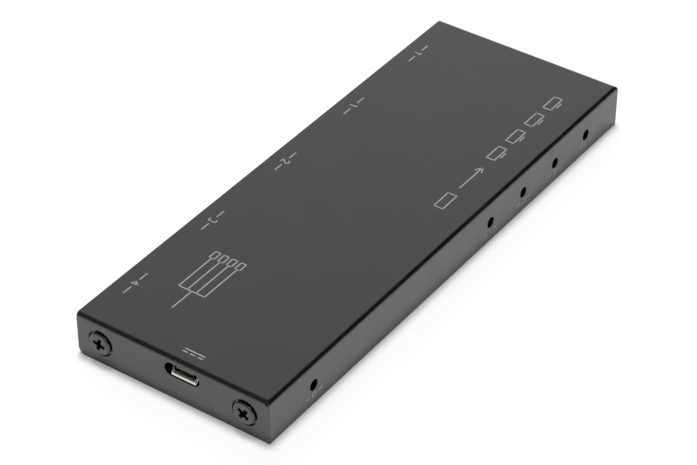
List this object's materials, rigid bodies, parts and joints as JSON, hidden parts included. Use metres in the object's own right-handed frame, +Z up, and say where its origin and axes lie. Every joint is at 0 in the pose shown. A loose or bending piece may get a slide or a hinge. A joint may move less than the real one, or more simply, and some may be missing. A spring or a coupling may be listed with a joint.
{
  "type": "hdmi splitter",
  "caption": "Slim black metal splitter box for digital video, with sockets along one long side, indicator lights along the other and a power socket in one end.",
  "frame": {"origin": "middle of the underside, on the surface that the box lies on", "axes": "+X along the box away from the power socket, +Y towards the video sockets, +Z up"},
  "size_m": [0.1454, 0.0524, 0.0114],
  "materials": {
    "black_coat": "satin powder coat",
    "black_zinc": "black plated",
    "plated_steel": "bright plated",
    "bright_shell": "nickel plated",
    "black_moulding": "moulded",
    "gold_contact": "gold flashed",
    "tinned_wire": "tinned",
    "clear_film": "clear film",
    "board_laminate": "solder resist",
    "smoked_lens": "smoked, unlit",
    "chip_black": "moulded",
    "grey_pad": "soft",
    "ferrite": "sintered",
    "tan_ceramic": "fired",
    "grey_print": "screen printed ink"
  },
  "bodies": {
    "root": {"top_cover": "black_coat", "base_tray": "black_coat", "cover_screws": "black_zinc", "board_standoffs": "plated_steel", "board_screws": "plated_steel", "insulation_film": "clear_film", "main_board": "board_laminate", "power_socket_shell": "bright_shell", "power_socket_insulator": "black_moulding", "power_socket_contacts": "gold_contact", "light_wires": "tinned_wire", "splitter_chip": "chip_black", "chip_pad": "grey_pad", "controller_chip": "chip_black", "memory_chip": "chip_black", "regulator": "chip_black", "coil": "ferrite", "crystal_can": "plated_steel", "supply_capacitors": "tan_ceramic", "signal_capacitors": "tan_ceramic", "surge_arrays": "chip_black", "socket_shell_output_4": "bright_shell", "socket_insulator_output_4": "black_moulding", "socket_contacts_output_4": "gold_contact", "socket_shell_output_3": "bright_shell", "socket_insulator_output_3": "black_moulding", "socket_contacts_output_3": "gold_contact", "socket_shell_output_2": "bright_shell", "socket_insulator_output_2": "black_moulding", "socket_contacts_output_2": "gold_contact", "socket_shell_output_1": "bright_shell", "socket_insulator_output_1": "black_moulding", "socket_contacts_output_1": "gold_contact", "socket_shell_input": "bright_shell", "socket_insulator_input": "black_moulding", "socket_contacts_input": "gold_contact", "light_output_4": "smoked_lens", "light_output_3": "smoked_lens", "light_output_2": "smoked_lens", "light_output_1": "smoked_lens", "light_power": "smoked_lens"}
  },
  "joints": []
}
